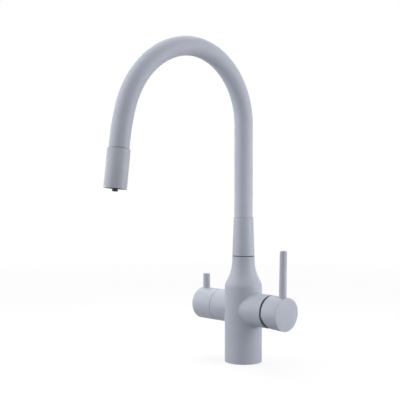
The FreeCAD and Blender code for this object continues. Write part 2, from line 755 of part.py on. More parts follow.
def filter_spindle():
    """The spindle that turns the moving disc and carries the knob."""
    ring_low = SPINDLE_RING_AT - SPINDLE_RING_SECTION / 2 - SEATED
    ring_top = SPINDLE_RING_AT + SPINDLE_RING_SECTION / 2 + SEATED
    clip_low = VALVE_END
    clip_top = VALVE_END + CLIP_THICK + 2 * SEATED
    return to_rear(turned([
        (0, SPINDLE_START),
        (VALVE_DISC_RADIUS - RUNNING, SPINDLE_START),
        (VALVE_DISC_RADIUS - RUNNING, SPINDLE_FLANGE_END),
        (SPINDLE_RADIUS, SPINDLE_FLANGE_END),
        (SPINDLE_RADIUS, ring_low),
        (SPINDLE_GROOVE, ring_low),
        (SPINDLE_GROOVE, ring_top),
        (SPINDLE_RADIUS, ring_top),
        (SPINDLE_RADIUS, clip_low),
        (SPINDLE_GROOVE, clip_low),
        (SPINDLE_GROOVE, clip_top),
        (SPINDLE_RADIUS, clip_top),
        (SPINDLE_RADIUS, SPINDLE_END),
        (0, SPINDLE_END),
    ]))


def spindle_ring():
    """The spindle's sealing ring."""
    half = SPINDLE_RING_SECTION / 2
    return to_rear(pipe(SPINDLE_RADIUS, SPINDLE_GROOVE, SPINDLE_RING_AT - half, SPINDLE_RING_AT + half))


def spindle_clip():
    """The split clip that keeps the spindle in the headwork."""
    start = VALVE_END + SEATED
    clip = pipe(CLIP_RADIUS, SPINDLE_GROOVE, start, start + CLIP_THICK)
    half = SPINDLE_GROOVE
    slot = block((0, CLIP_RADIUS + PAST), (-half, half), (start - PAST, start + CLIP_THICK + PAST))
    return to_rear(clip.cut(slot))


def filter_knob():
    """The knob of the filtered-water valve."""
    start = REAR_END + KNOB_GAP
    slant = KNOB_EDGE * (1 - math.sqrt(0.5))
    edges = [
        line((KNOB_CAVITY, start), (REAR_RADIUS - RIM_ROUND, start)),
        line((REAR_RADIUS - RIM_ROUND, start), (REAR_RADIUS, start + RIM_ROUND)),
        line((REAR_RADIUS, start + RIM_ROUND), (REAR_RADIUS, KNOB_END - KNOB_EDGE)),
        arc((REAR_RADIUS, KNOB_END - KNOB_EDGE), (REAR_RADIUS - slant, KNOB_END - slant),
            (REAR_RADIUS - KNOB_EDGE, KNOB_END)),
        line((REAR_RADIUS - KNOB_EDGE, KNOB_END), (0, KNOB_END)),
        line((0, KNOB_END), (0, KNOB_WEB)),
        line((0, KNOB_WEB), (KNOB_CAVITY, KNOB_WEB)),
        line((KNOB_CAVITY, KNOB_WEB), (KNOB_CAVITY, start)),
    ]
    knob = to_rear(turned_edges(edges))
    socket = across(SPINDLE_RADIUS + RUNNING, -KNOB_WEB + PAST, -SPINDLE_END - LOOSE)
    cuts = [socket] + screw_cuts(-KNOB_LEVER_X, SPINDLE_RADIUS)
    cuts += lever_cuts(-KNOB_LEVER_X, KNOB_LEVER_BASE)
    return knob.cut(cuts).removeSplitter()


def filter_lever():
    """The short lever of the filtered-water valve."""
    return lever(-KNOB_LEVER_X, KNOB_LEVER_BASE, KNOB_LEVER_TIP, KNOB_LEVER_TOP, KNOB_LEVER_ROUND)


def filter_grub_screw():
    """The grub screw that clamps the knob to the spindle."""
    return grub_screw(-KNOB_LEVER_X, SPINDLE_RADIUS)


STEM_START = NECK_FLOOR + STEM_CHAMBER
COLLAR_START = NECK_TOP + SWIVEL_GAP
COLLAR_TOP = COLLAR_START + COLLAR_LENGTH
STEM_TOP = COLLAR_START + STEM_THREAD_LENGTH
FERRULE_SOCKET = STEM_TOP + FERRULE_FLOOR
FERRULE_TOP = FERRULE_SOCKET + FERRULE_GRIP
SLEEVE_SEAT = FERRULE_TOP + SLEEVE_STAND_OFF


def ring_stations():
    """Stations of the stem's two large sealing rings, beside the retainer."""
    low = STEM_START + RING_SECTION
    high = retainer_span()[0] - 2 * RING_SECTION
    return low, high


def spout_stem():
    """The turning stem of the spout, with its ring grooves and two ways."""
    radius = NECK_BORE - RUNNING
    stem = turned([
        (0, STEM_START),
        (radius, STEM_START),
        (radius, COLLAR_START),
        (STEM_THREAD, COLLAR_START),
        (STEM_THREAD, STEM_TOP),
        (0, STEM_TOP),
    ])
    spigot_end = NECK_FLOOR - SPIGOT_LENGTH + LOOSE
    stem = stem.fuse(rod(SPIGOT_RADIUS, spigot_end, STEM_START))
    low, high = retainer_span()
    cuts = [pipe(NECK_BORE + PAST, RING_GROOVE, station - SEATED, station + RING_SECTION + SEATED)
            for station in ring_stations()]
    cuts.append(pipe(NECK_BORE + PAST, RING_GROOVE, low - SEATED, high + SEATED))
    cuts.append(rod(FILTER_STEM_BORE, spigot_end, FILTER_STEM_TURN))
    turn_centre = Vector(0, 0, FILTER_STEM_TURN - FILTER_TUBE_BORE)
    turn = Part.makeCylinder(FILTER_TUBE_BORE, -FILTER_TUBE_X, turn_centre, Vector(-1, 0, 0))
    cuts.append(turn)
    cuts.append(upright(FILTER_TUBE_BORE, FILTER_STEM_TURN - FILTER_TUBE_BORE, STEM_TOP, FILTER_TUBE_X))
    cuts.append(upright(MIXED_STEM_BORE, STEM_START, STEM_TOP, MIXED_HOSE_X + MIXED_STEM_BORE))
    return stem.cut(cuts).removeSplitter()


def stem_rings():
    """The two sealing rings on the spout's stem."""
    rings = [pipe(NECK_BORE - RUNNING, RING_GROOVE, station, station + RING_SECTION)
             for station in ring_stations()]
    return Part.makeCompound(rings)


def spout_retainer():
    """The split ring that keeps the spout's stem in the neck."""
    low, high = retainer_span()
    ring = pipe(RETAINER_RADIUS, RING_GROOVE + RUNNING, low, high)
    half = RETAINER_SLOT / 2
    slot = block((-half, half), (0, RETAINER_RADIUS + PAST), (low - PAST, high + PAST))
    return ring.cut(slot)


def swivel_washer():
    """The washer that the collar turns on."""
    return pipe(WASHER_RADIUS, NECK_BORE + RUNNING, NECK_TOP, NECK_TOP + WASHER_THICK)


def spout_collar():
    """The tapered collar at the foot of the flexible spout."""
    bore = STEM_THREAD + RUNNING
    sleeve_bore = SLEEVE_RADIUS + SEATED
    return turned([
        (bore, COLLAR_START),
        (COLLAR_RADIUS_LOW - COLLAR_EDGE, COLLAR_START),
        (COLLAR_RADIUS_LOW, COLLAR_START + COLLAR_EDGE),
        (COLLAR_RADIUS_TOP, COLLAR_TOP - COLLAR_EDGE),
        (COLLAR_RADIUS_TOP - COLLAR_EDGE, COLLAR_TOP),
        (sleeve_bore, COLLAR_TOP),
        (sleeve_bore, SLEEVE_SEAT),
        (bore, SLEEVE_SEAT),
    ])


def lower_ferrule():
    """The ferrule that grips the foot of the gooseneck inside the collar."""
    return turned([
        (FERRULE_BORE, STEM_TOP + RUNNING),
        (STEM_THREAD, STEM_TOP + RUNNING),
        (STEM_THREAD, FERRULE_TOP),
        (GOOSENECK_RADIUS + RUNNING, FERRULE_TOP),
        (GOOSENECK_RADIUS + RUNNING, FERRULE_SOCKET),
        (FERRULE_BORE, FERRULE_SOCKET),
    ])


def spout_spans():
    """The spout's centreline as spans: start, length, place, heading, radius."""
    spans = [(0.0, SPOUT_RISE, Vector(), 0.0, None)]
    reach = SPOUT_RISE
    place = Vector(0, 0, SPOUT_RISE)
    heading = 0.0
    for radius, angle in zip(SPOUT_RADII, SPOUT_ANGLES):
        length = radius * math.radians(angle)
        spans.append((reach, length, place, heading, radius))
        place = place + (inward(heading) - inward(heading + angle)) * radius
        heading += angle
        reach += length
    spans.append((reach, SPOUT_TAIL + NOZZLE_LENGTH, place, heading, None))
    return spans


def forward(heading):
    """Direction of travel at a heading, in degrees from straight up."""
    return Vector(0, -math.sin(math.radians(heading)), math.cos(math.radians(heading)))


def inward(heading):
    """Direction from the centreline to the centre of its arc."""
    return Vector(0, -math.cos(math.radians(heading)), -math.sin(math.radians(heading)))


def spout_length():
    """Distance along the centreline from the worktop to the nozzle."""
    arcs = [radius * math.radians(angle) for radius, angle in zip(SPOUT_RADII, SPOUT_ANGLES)]
    return SPOUT_RISE + sum(arcs) + SPOUT_TAIL


def spout_at(distance):
    """Place and heading at a distance along the centreline."""
    for start, length, place, heading, radius in spout_spans():
        past = distance - start
        if past <= length:
            break
    if radius is None:
        return place + forward(heading) * past, heading
    turn = math.degrees(past / radius)
    return place + (inward(heading) - inward(heading + turn)) * radius, heading + turn


def spout_tube(start, end, outer, inner, offset=0.0):
    """A tube along the spout between two distances, set off sideways by offset."""
    solids = []
    for span_start, length, _, _, radius in spout_spans():
        low = max(start, span_start)
        high = min(end, span_start + length)
        if high - low < NEARLY:
            continue
        place, heading = spout_at(low + NEARLY)
        aside = place + ALONG_X * offset
        rings = [Part.Wire(Part.makeCircle(size, aside, forward(heading))) for size in (outer, inner)]
        section = Part.makeFace(rings, "Part::FaceMakerBullseye")
        if radius is None:
            solids.append(section.extrude(forward(heading) * (high - low)))
            continue
        centre = place + inward(heading) * radius
        solids.append(section.revolve(centre, ALONG_X, math.degrees((high - low) / radius)))
    whole = solids[0]
    for solid in solids[1:]:
        whole = whole.fuse(solid)
    return whole


def flex_places():
    """Distances along the centreline at which the spout bends."""
    first = COLLAR_TOP + FLEX_MARGIN
    last = spout_length() - FLEX_MARGIN
    step = (last - first) / (FLEX_JOINTS - 1)
    return [first + step * index for index in range(FLEX_JOINTS)]


def gooseneck(index):
    """One length of the gooseneck between two of its bends."""
    ends = [FERRULE_SOCKET + SEATED] + flex_places() + [spout_length() + ADAPTER_SOCKET - SEATED]
    start = ends[index] + (FLEX_GAP / 2 if index > 0 else 0.0)
    end = ends[index + 1] - (FLEX_GAP / 2 if index < FLEX_JOINTS else 0.0)
    return spout_tube(start, end, GOOSENECK_RADIUS, GOOSENECK_BORE)


def silicone_sleeve():
    """The smooth sleeve over the gooseneck."""
    end = spout_length() + SLEEVE_SOCKET_DEPTH - SEATED
    return spout_tube(SLEEVE_SEAT + SEATED, end, SLEEVE_RADIUS, SLEEVE_RADIUS - SLEEVE_WALL)


def mixed_water_hose():
    """The hose that carries mixed water up the spout."""
    end = spout_length() + HOSE_SOCKET_END - SEATED
    return spout_tube(STEM_TOP + SEATED, end, MIXED_HOSE_RADIUS, MIXED_HOSE_BORE, MIXED_HOSE_X)


def filtered_water_tube():
    """The tube that carries filtered water up the spout."""
    end = spout_length() + HOSE_SOCKET_END - SEATED
    return spout_tube(STEM_TOP + SEATED, end, FILTER_TUBE_RADIUS, FILTER_TUBE_BORE, FILTER_TUBE_X)


def at_nozzle(shape):
    """Moves a shape built about Z to the end of the spout."""
    place, heading = spout_at(spout_length())
    shape.rotate(Vector(), ALONG_X, heading)
    shape.translate(place)
    return shape


def nozzle_housing():
    """The nozzle's outer shell."""
    return at_nozzle(turned([
        (SLEEVE_RADIUS + SEATED, 0),
        (NOZZLE_RADIUS - NOZZLE_EDGE, 0),
        (NOZZLE_RADIUS, NOZZLE_EDGE),
        (NOZZLE_RADIUS, NOZZLE_LENGTH - NOZZLE_EDGE),
        (NOZZLE_RADIUS - NOZZLE_EDGE, NOZZLE_LENGTH),
        (NOZZLE_BORE, NOZZLE_LENGTH),
        (NOZZLE_BORE, SLEEVE_SOCKET_DEPTH),
        (SLEEVE_RADIUS + SEATED, SLEEVE_SOCKET_DEPTH),
    ]))


def nozzle_adapter():
    """The plug that joins the gooseneck, hose and tube to the nozzle."""
    radius = NOZZLE_BORE - SEATED
    start = SLEEVE_SOCKET_DEPTH + SEATED
    plug = turned([
        (0, ADAPTER_SOCKET),
        (GOOSENECK_RADIUS + RUNNING, ADAPTER_SOCKET),
        (GOOSENECK_RADIUS + RUNNING, start),
        (radius, start),
        (radius, ADAPTER_END),
        (0, ADAPTER_END),
    ])
    cuts = [
        upright(MIXED_HOSE_RADIUS + RUNNING, ADAPTER_SOCKET - PAST, HOSE_SOCKET_END, MIXED_HOSE_X),
        upright(MIXED_HOSE_BORE, HOSE_SOCKET_END - PAST, ADAPTER_END, MIXED_HOSE_X + MIXED_HOSE_BORE),
        upright(FILTER_TUBE_RADIUS + RUNNING, ADAPTER_SOCKET - PAST, HOSE_SOCKET_END, FILTER_TUBE_X),
    ]
    way = Part.makeCylinder(FILTER_TUBE_BORE, math.hypot(FILTER_TUBE_X, ADAPTER_END - HOSE_SOCKET_END),
                            Vector(FILTER_TUBE_X, 0, HOSE_SOCKET_END),
                            Vector(-FILTER_TUBE_X, 0, ADAPTER_END - HOSE_SOCKET_END))
    return at_nozzle(plug.cut(cuts + [way]).removeSplitter())


def aerator_insert():
    """The aerator: an annular insert with a ring of jets."""
    end = NOZZLE_LENGTH - AERATOR_SETBACK
    insert = pipe(NOZZLE_BORE - SEATED, OUTLET_RADIUS + SEATED, AERATOR_START, end)
    jets = []
    for index in range(AERATOR_JETS):
        jet = upright(AERATOR_JET_RADIUS, AERATOR_START, end, AERATOR_JET_CIRCLE)
        jet.rotate(Vector(), UP, 360 * index / AERATOR_JETS)
        jets.append(jet)
    return at_nozzle(insert.cut(jets))


def aerator_seal():
    """The seal behind the aerator."""
    outer = NOZZLE_BORE - SEATED
    end = AERATOR_START - RUNNING
    return at_nozzle(pipe(outer, outer - AERATOR_SEAL_WIDTH, end - AERATOR_SEAL_THICK, end))


def filtered_outlet():
    """The separate centre outlet for filtered water."""
    outlet = pipe(OUTLET_RADIUS, OUTLET_BORE, ADAPTER_END + RUNNING, NOZZLE_LENGTH + OUTLET_STAND_OUT)
    return at_nozzle(outlet)


def pieces():
    """Every piece by its node name."""
    named = [
        body_casting, base_seal, spout_retainer, swivel_washer,
        cartridge_base, cartridge_seals, ceramic_fixed_disc, cartridge_housing,
        cartridge_nut, cartridge_cover,
        cartridge_rotor, stem_pivot_pin, ceramic_moving_disc, disc_carrier,
        handle_stem, handle_cap, handle_lever, handle_grub_screw,
        filter_valve_housing, filter_seat_seal, filter_fixed_disc, filter_moving_disc,
        filter_spindle, spindle_ring, spindle_clip, filter_knob, filter_lever, filter_grub_screw,
        spout_stem, stem_rings, spout_collar, lower_ferrule,
        silicone_sleeve, mixed_water_hose, filtered_water_tube,
        nozzle_housing, nozzle_adapter, aerator_insert, aerator_seal, filtered_outlet,
    ]
    shapes = {make.__name__: make() for make in named}
    for index in range(FLEX_JOINTS + 1):
        shapes["gooseneck_%d" % (index + 1)] = gooseneck(index)
    return shapes


def main():
    """Writes one STEP file per piece."""
    os.makedirs("parts", exist_ok=True)
    for name, shape in pieces().items():
        shape.exportStep("parts/%s.step" % name)
        state = (name, len(shape.Solids), shape.Volume, shape.isValid())
        print("%-22s solids %d  volume %.1f  valid %s" % state)
    for distance in flex_places():
        place, heading = spout_at(distance)
        print("bend at y %.3f z %.3f heading %.2f" % (place.y, place.z, heading))
    place, heading = spout_at(spout_length())
    print("nozzle at y %.3f z %.3f heading %.2f" % (place.y, place.z, heading))


main()
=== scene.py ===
import json
import math

import bmesh
import bpy
from mathutils import Matrix, Vector


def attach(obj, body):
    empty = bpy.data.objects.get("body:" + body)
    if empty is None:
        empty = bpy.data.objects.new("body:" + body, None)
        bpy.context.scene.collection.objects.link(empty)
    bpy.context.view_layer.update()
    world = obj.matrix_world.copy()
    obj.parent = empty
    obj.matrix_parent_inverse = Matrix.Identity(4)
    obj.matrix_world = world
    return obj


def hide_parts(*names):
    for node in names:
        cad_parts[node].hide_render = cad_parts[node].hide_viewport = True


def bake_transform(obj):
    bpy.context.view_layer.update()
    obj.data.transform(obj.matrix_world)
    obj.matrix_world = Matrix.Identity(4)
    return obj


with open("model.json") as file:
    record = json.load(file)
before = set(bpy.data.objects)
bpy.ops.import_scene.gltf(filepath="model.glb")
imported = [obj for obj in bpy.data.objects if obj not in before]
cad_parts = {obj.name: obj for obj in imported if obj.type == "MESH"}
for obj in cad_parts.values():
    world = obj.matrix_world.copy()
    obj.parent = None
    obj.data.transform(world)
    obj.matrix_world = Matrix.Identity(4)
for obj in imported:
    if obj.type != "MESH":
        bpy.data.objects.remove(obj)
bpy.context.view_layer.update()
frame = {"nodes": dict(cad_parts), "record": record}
print("frame loaded:", len(frame["nodes"]), "nodes")

mm = 0.001
xAxis = Vector((1, 0, 0))
zAxis = Vector((0, 0, 1))
unturned = Matrix.Identity(4)


# Shader maths: a wrapped socket that can be written in sums
class Link:
    def __init__(self, tree, socket):
        self.tree = tree
        self.socket = socket

    def maths(self, operation, first, second):
        return self.tree.add("Math", {"operation": operation}, {0: first, 1: second})

    def __add__(self, other):
        return self.maths("ADD", self, other)

    def __radd__(self, other):
        return self.maths("ADD", other, self)

    def __sub__(self, other):
        return self.maths("SUBTRACT", self, other)

    def __rsub__(self, other):
        return self.maths("SUBTRACT", other, self)

    def __mul__(self, other):
        return self.maths("MULTIPLY", self, other)

    def __rmul__(self, other):
        return self.maths("MULTIPLY", other, self)


# The nodes of a material or of the world
class NodeTree:
    def __init__(self, owner):
        owner.use_nodes = True
        self.nodes = owner.node_tree.nodes
        self.links = owner.node_tree.links

    # Any node: its settings first, then the values or links of its sockets
    def add(self, kind, settings=None, sockets=None, output=0):
        node = self.nodes.new("ShaderNode" + kind)
        for key, value in (settings or {}).items():
            setattr(node, key, value)
        for key, value in (sockets or {}).items():
            self.put(node, key, value)
        return Link(self, node.outputs[output])

    def put(self, node, key, value):
        if isinstance(value, Link):
            self.links.new(value.socket, node.inputs[key])
        else:
            node.inputs[key].default_value = value

    def between(self, value, low, high, newLow=0.0, newHigh=1.0):
        return self.add("MapRange", sockets={"Value": value, "From Min": low, "From Max": high,
                                             "To Min": newLow, "To Max": newHigh})

    def larger(self, first, second):
        return self.add("Math", {"operation": "MAXIMUM"}, {0: first, 1: second})

    def seenDirectly(self):
        # 1 where the camera, a reflection or glass sees it, 0 where it only lights the tap
        camera, gloss, glass = [self.add("LightPath", output="Is %s Ray" % kind)
                                for kind in ("Camera", "Glossy", "Transmission")]
        return self.larger(self.larger(camera, gloss), glass)


socketNames = {"colour": "Base Color", "metal": "Metallic", "rough": "Roughness", "normal": "Normal",
               "specular": "Specular IOR Level", "sheen": "Sheen Weight", "sheenRough": "Sheen Roughness"}


def colour(red, green, blue):
    # display values from 0 to 255, as linear light
    parts = [value / 255 for value in (red, green, blue)]
    linear = [part / 12.92 if part < 0.04045 else ((part + 0.055) / 1.055) ** 2.4 for part in parts]
    return (*linear, 1.0)


# A material of the tap: patterns on the object's own place, fed to one Principled shader
class Finish(NodeTree):
    def __init__(self, name):
        self.material = bpy.data.materials.new(name)
        super().__init__(self.material)
        self.shader = self.nodes["Principled BSDF"]
        self.place = self.add("TexCoord", output="Object")

    def set(self, **values):
        for key, value in values.items():
            self.put(self.shader, socketNames[key], value)

    def noise(self, scale, detail, roughness, stretch=None):
        place = self.place
        if stretch:
            place = self.add("Mapping", sockets={"Vector": place, "Scale": stretch})
        return self.add("TexNoise", sockets={"Vector": place, "Scale": scale, "Detail": detail,
                                             "Roughness": roughness})

    def blendColours(self, factor, first, second):
        return self.add("Mix", {"data_type": "RGBA"}, {0: factor, 6: first, 7: second}, output=2)

    def mottled(self, cloud, first, second):
        # noise lies mostly between 0.3 and 0.7
        return self.blendColours(self.between(cloud, 0.3, 0.7), colour(*first), colour(*second))

    def about(self, pattern, low, high, middle, spread):
        # a value that wanders to both sides of its middle
        return self.between(pattern, low, high, middle - spread, middle + spread)

    def bump(self, height, strength, depth, before=None):
        sockets = {"Strength": strength, "Distance": depth, "Height": height}
        if before:
            sockets["Normal"] = before
        return self.add("Bump", sockets=sockets)


# Painted metal: cloudy tone, fine orange peel, and edges worn a little smoother and lighter.
# fleck, wear and wornGloss say how strongly the paint's grain and its worn edges show.
coatLook = {"tone": (178, 183, 195), "shade": (170, 175, 188), "edge": (197, 201, 209),
            "rough": 0.5, "roughSpread": 0.07, "specular": 0.4, "cloudScale": 22.0,
            "peelScale": 900.0, "peelDepth": 0.00006, "grainScale": 4200.0, "grainDepth": 0.00002,
            "bump": 0.35, "fleck": 0.06, "wear": 0.35, "wornGloss": 0.08}


def paintedMetal(name, look):
    finish = Finish(name)
    cloud = finish.noise(look["cloudScale"], 3.0, 0.6)
    peel = finish.noise(look["peelScale"], 2.0, 0.5)
    grain = finish.noise(look["grainScale"], 1.0, 0.5)
    rim = finish.add("Attribute", {"attribute_name": "rim"}, output="Fac")
    worn = finish.between(rim * (0.6 + cloud * 0.8), 0.35, 1.0)
    edge = colour(*look["edge"])
    tone = finish.mottled(cloud, look["shade"], look["tone"])
    tone = finish.blendColours(finish.between(grain, 0.3, 0.7, 0.0, look["fleck"]), tone, edge)
    tone = finish.blendColours(worn * look["wear"], tone, edge)
    rough = finish.about(cloud + peel * 0.3, 0.4, 0.95, look["rough"], look["roughSpread"])
    peelBump = finish.bump(peel, look["bump"], look["peelDepth"])
    finish.set(colour=tone, rough=rough - worn * look["wornGloss"], specular=look["specular"],
               normal=finish.bump(grain, look["bump"], look["grainDepth"], peelBump))
    return finish.material


# Silicone: softer, with a light sheen and fine dust
siliconeLook = {"tone": (189, 194, 207), "shade": (181, 187, 201), "dust": (205, 207, 212),
                "rough": 0.56, "roughSpread": 0.06, "specular": 0.35, "sheen": 0.08, "sheenRough": 0.5,
                "cloudScale": 16.0, "skinScale": 1500.0, "skinDepth": 0.00003, "bump": 0.3,
                "dustScale": 620.0, "dustShow": 0.18, "dustRough": 0.1}


def siliconeRubber(name, look):
    finish = Finish(name)
    cloud = finish.noise(look["cloudScale"], 3.0, 0.55)
    skin = finish.noise(look["skinScale"], 2.0, 0.6)
    speck = finish.between(finish.noise(look["dustScale"], 4.0, 0.7), 0.66, 0.74)
    tone = finish.mottled(cloud, look["shade"], look["tone"])
    tone = finish.blendColours(speck * look["dustShow"], tone, colour(*look["dust"]))
    rough = finish.about(cloud + skin * 0.4, 0.4, 1.0, look["rough"], look["roughSpread"])
    finish.set(colour=tone, rough=rough + speck * look["dustRough"], specular=look["specular"],
               sheen=look["sheen"], sheenRough=look["sheenRough"],
               normal=finish.bump(skin, look["bump"], look["skinDepth"]))
    return finish.material


# Moulded plastic and rubber: fine texture, slight mottling
mouldedLook = {"cloudScale": 60.0, "skinScale": 1100.0, "skinDepth": 0.00004, "bump": 0.3,
               "roughSpread": 0.06, "specular": 0.4}


def moulded(name, tone, shade, rough, look=mouldedLook):
    finish = Finish(name)
    cloud = finish.noise(look["cloudScale"], 3.0, 0.6)
    skin = finish.noise(look["skinScale"], 3.0, 0.6)
    finish.set(colour=finish.mottled(cloud, shade, tone), specular=look["specular"],
               rough=finish.about(skin, 0.3, 0.7, rough, look["roughSpread"]),
               normal=finish.bump(skin, look["bump"], look["skinDepth"]))
    return finish.material


# Turned metal: fine rings round the axis that the stretch leaves long, with light tarnish
turnedLook = {"lineScale": 260.0, "lineDepth": 0.00002, "bump": 0.4, "tarnishScale": 90.0,
              "smoother": 0.08, "rougher": 0.1}


def turnedMetal(name, tone, shade, rough, stretch, look=turnedLook):
    finish = Finish(name)
    lines = finish.noise(look["lineScale"], 2.0, 0.6, stretch)
    tarnish = finish.noise(look["tarnishScale"], 4.0, 0.65)
    stained = finish.between(tarnish, 0.35, 0.7)
    finish.set(colour=finish.blendColours(stained, colour(*tone), colour(*shade)), metal=1.0,
               rough=finish.between(lines + tarnish * 0.5, 0.4, 1.0, rough - look["smoother"],
                                    rough + look["rougher"]),
               normal=finish.bump(lines, look["bump"], look["lineDepth"]))
    return finish.material


# Lapped ceramic: pale, dense, with faint lapping marks
ceramicLook = {"tone": (240, 238, 230), "shade": (232, 228, 216), "cloudScale": 120.0, "specular": 0.5,
               "lappingScale": 2400.0, "lappingDepth": 0.00001, "bump": 0.15, "rough": (0.18, 0.3)}


def lappedCeramic(name, look):
    finish = Finish(name)
    cloud = finish.noise(look["cloudScale"], 3.0, 0.6)
    lapping = finish.noise(look["lappingScale"], 2.0, 0.5)
    finish.set(colour=finish.mottled(cloud, look["shade"], look["tone"]), specular=look["specular"],
               rough=finish.between(lapping, 0.3, 0.7, *look["rough"]),
               normal=finish.bump(lapping, look["bump"], look["lappingDepth"]))
    return finish.material


materials = {
    "powder_coat": paintedMetal("paintedMetal", coatLook),
    "silicone": siliconeRubber("siliconeRubber", siliconeLook),
    "steel": turnedMetal("plainSteel", (176, 176, 176), (146, 148, 150), 0.34, (1.0, 1.0, 12.0)),
    "brass": turnedMetal("machinedBrass", (206, 170, 104), (178, 142, 82), 0.32, (12.0, 1.0, 12.0)),
    "black_plastic": moulded("blackPlastic", (52, 53, 57), (40, 41, 45), 0.5),
    "white_plastic": moulded("whiteAcetal", (226, 225, 220), (216, 215, 208), 0.42),
    "grey_plastic": moulded("greyPlastic", (128, 130, 135), (114, 116, 121), 0.5),
    "ceramic": lappedCeramic("lappedCeramic", ceramicLook),
    "seal_rubber": moulded("sealRubber", (34, 34, 35), (24, 24, 25), 0.6),
    "hose_rubber": moulded("whiteHose", (224, 224, 220), (212, 212, 206), 0.45),
    "filter_hose": moulded("blueTube", (156, 176, 206), (138, 160, 196), 0.3),
}
print("materials made:", len(materials))


slotOf = {part["node"]: part["material_slot"] for part in frame["record"]["subparts"]}
bodies = frame["record"]["behaviour"]["bodies"]
bodyOf = {node: body for body, members in bodies.items() for node in members}

# Mesh helpers. Lengths are given in millimetres and the meshes are in metres.
weldDistance = 2e-6
nearly = 1e-6
creaseAngle = 35.0
wornRimTurn = 0.35


def newPiece(name, shape, slot, body=None, replaced=(), smoothAngle=creaseAngle):
    bmesh.ops.remove_doubles(shape, verts=shape.verts, dist=weldDistance)
    markRims(shape)
    mesh = bpy.data.meshes.new(name)
    shape.to_mesh(mesh)
    shape.free()
    piece = bpy.data.objects.new(name, mesh)
    bpy.context.scene.collection.objects.link(piece)
    mesh.materials.append(materials[slot])
    mesh.shade_smooth()
    mesh.set_sharp_from_angle(angle=math.radians(smoothAngle))
    if body:
        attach(piece, body)
    if replaced:
        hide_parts(*replaced)
    return piece


def markRims(shape):
    # how sharply the surface turns outwards at each vertex, from 0 to 1
    layer = shape.verts.layers.float.new("rim")
    for vert in shape.verts:
        turns = [edge.calc_face_angle_signed(0.0) for edge in vert.link_edges if len(edge.link_faces) == 2]
        vert[layer] = min(1.0, max([0.0] + turns) / wornRimTurn)


def spun(profile, steps=128, closed=True):
    # a profile of (radius, station) pairs turned round Z; an open one starts and ends on the axis
    shape = bmesh.new()
    points = [shape.verts.new((radius * mm, 0, station * mm)) for radius, station in profile]
    pairs = list(zip(points, points[1:]))
    if closed:
        pairs.append((points[-1], points[0]))
    edges = [shape.edges.new(pair) for pair in pairs]
    bmesh.ops.spin(shape, geom=points + edges, cent=(0, 0, 0), axis=zAxis, angle=2 * math.pi,
                   steps=steps, use_merge=True)
    bmesh.ops.remove_doubles(shape, verts=shape.verts, dist=weldDistance)
    bmesh.ops.recalc_face_normals(shape, faces=shape.faces)
    return shape


def easeRims(shape, width, segments=3, least=30.0, chosen=None):
    edges = [edge for edge in shape.edges
             if len(edge.link_faces) == 2 and edge.calc_face_angle() > math.radians(least)
             and (chosen is None or chosen(edge))]
    bmesh.ops.bevel(shape, geom=edges, offset=width * mm, offset_type="OFFSET", segments=segments,
                    profile=0.5, affect="EDGES", material=-1, clamp_overlap=True)


def outside(radius):
    # rings of edges further from the axis than this
    return lambda edge: min(math.hypot(*vert.co[:2]) for vert in edge.verts) > radius * mm


def atStation(station):
    # rings of edges in one plane of a spun shape
    return lambda edge: all(abs(vert.co.z - station * mm) < nearly for vert in edge.verts)


def place(shape, matrix):
    bmesh.ops.transform(shape, matrix=matrix, verts=shape.verts)


def edgesWithin(items, verts):
    return [item for item in items if isinstance(item, bmesh.types.BMEdge)
            and item.verts[0] in verts and item.verts[1] in verts]


def cutBy(piece, cutter):
    # the piece loses the cutter's solid, and the cutter is used up
    tool = bpy.data.objects.new("tool", bpy.data.meshes.new("tool"))
    cutter.to_mesh(tool.data)
    cutter.free()
    bpy.context.scene.collection.objects.link(tool)
    modifier = piece.modifiers.new("cut", "BOOLEAN")
    modifier.operation = "DIFFERENCE"
    modifier.solver = "EXACT"
    modifier.object = tool
    graph = bpy.context.evaluated_depsgraph_get()
    made = bpy.data.meshes.new_from_object(piece.evaluated_get(graph))
    piece.modifiers.remove(modifier)
    old = piece.data
    piece.data = made
    bpy.data.meshes.remove(old)
    bpy.data.objects.remove(tool)
    made.set_sharp_from_angle(angle=math.radians(creaseAngle))


# The spout's centreline: a straight rise, three arcs of (radius, degrees), a straight end.
# The flexible part's bends are placed between two margins; reach is how far to each side of a bend a point
# is taken.
spoutShape = {"rise": 317.4, "arcs": ((95.8, 101.26), (115.9, 61.86), (258.4, 9.64)), "tail": 7.7,
              "nozzleLength": 47.0, "collarTop": 193.85, "bends": 5, "margin": 40.0, "reach": 25.0,
              "spacing": 3.0}


def forward(heading):
    return Vector((0, -math.sin(heading), math.cos(heading)))


def inward(heading):
    return Vector((0, -math.cos(heading), -math.sin(heading)))


def spoutSpans():
    # each span: where it starts along the spout, its length, its first point and heading, its radius
    spans = [(0.0, spoutShape["rise"], Vector(), 0.0, None)]
    reach = spoutShape["rise"]
    point = Vector((0, 0, reach))
    heading = 0.0
    for radius, degrees in spoutShape["arcs"]:
        turn = math.radians(degrees)
        spans.append((reach, radius * turn, point, heading, radius))
        point = point + (inward(heading) - inward(heading + turn)) * radius
        heading += turn
        reach += radius * turn
    spans.append((reach, spoutShape["tail"] + spoutShape["nozzleLength"], point, heading, None))
    return spans


spans = spoutSpans()
spoutLength = spans[-1][0] + spoutShape["tail"]


def spoutAt(distance):
    # the point and heading of the centreline at a distance from the spout's foot
    for start, length, point, heading, radius in spans:
        past = distance - start
        if past <= length:
            break
    if radius is None:
        return point + forward(heading) * past, heading
    turn = past / radius
    return point + (inward(heading) - inward(heading + turn)) * radius, heading + turn


